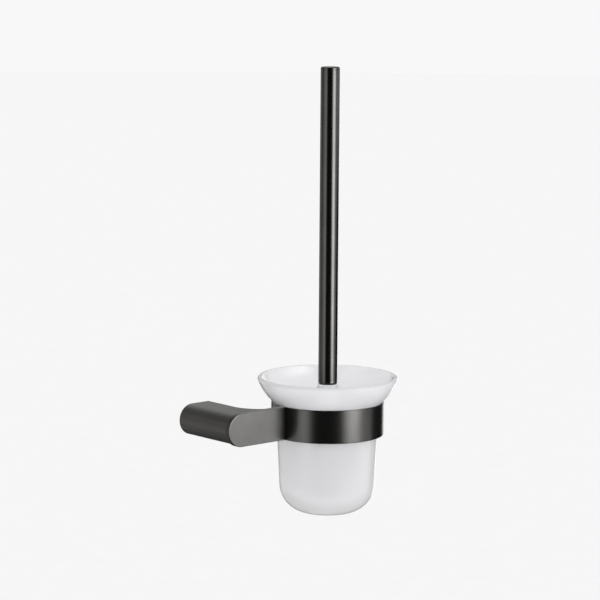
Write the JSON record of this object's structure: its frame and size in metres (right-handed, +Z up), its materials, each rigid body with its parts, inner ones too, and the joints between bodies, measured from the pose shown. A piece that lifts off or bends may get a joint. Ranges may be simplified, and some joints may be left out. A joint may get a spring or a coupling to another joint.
{
  "type": "toilet brush holder",
  "caption": "Wall-mounted toilet brush holder: a dark metal block, flat arm and ring hold a flared frosted glass cup with a long-handled brush standing in it.",
  "frame": {"origin": "centre of the block's back face, on the wall plane, at half the height of the ring and arm", "axes": "+Z up, +Y out of the block's back into the wall, +X along the wall from the block towards the ring"},
  "size_m": [0.1671, 0.1251, 0.3761],
  "materials": {
    "gunmetal": "dark gunmetal, finely brushed, satin",
    "zinc": "as cast",
    "steel": "plain turned",
    "black_plastic": "matt",
    "frosted_glass": "acid-frosted, satin",
    "rubber": "matt",
    "white_plastic": "moulded, smooth",
    "bristle": "nylon filaments"
  },
  "bodies": {
    "holder": {"wall_bracket": "zinc", "mount_block": "gunmetal", "grub_screw": "steel", "arm_plate": "gunmetal", "plate_screws": "steel", "holder_ring": "gunmetal", "ring_liner": "black_plastic"},
    "cup": {"glass_cup": "frosted_glass"},
    "brush_head": {"brush_stem": "white_plastic", "bristle_row_1": "bristle", "bristle_row_2": "bristle", "bristle_row_3": "bristle", "bristle_row_4": "bristle", "bristle_row_5": "bristle", "bristle_row_6": "bristle", "bristle_row_7": "bristle", "bristle_tip": "bristle"},
    "neck_washer": {"handle_washer": "rubber"},
    "handle": {"handle_tube": "gunmetal", "handle_cap": "gunmetal", "handle_bush": "gunmetal", "threaded_stud": "steel"}
  },
  "joints": [
    {"name": "cup_lift", "type": "slide", "parent": "holder", "child": "cup", "axis": [0, 0, 1], "range_m": [0, 0.11]},
    {"name": "brush_lift", "type": "slide", "parent": "cup", "child": "brush_head", "axis": [0, 0, 1], "range_m": [0, 0.13]},
    {"name": "handle_unscrew", "type": "hinge", "parent": "brush_head", "child": "neck_washer", "pos_m": [0.091, -0.066, 0.029], "axis": [0, 0, 1], "range_deg": [0, 2880]},
    {"name": "handle_rise", "type": "slide", "parent": "neck_washer", "child": "handle", "axis": [0, 0, 1], "range_m": [0, 0.01]}
  ],
  "couplings": [
    {"joint": "handle_rise", "follows": "handle_unscrew", "m_per_rad": 0.00019894}
  ]
}
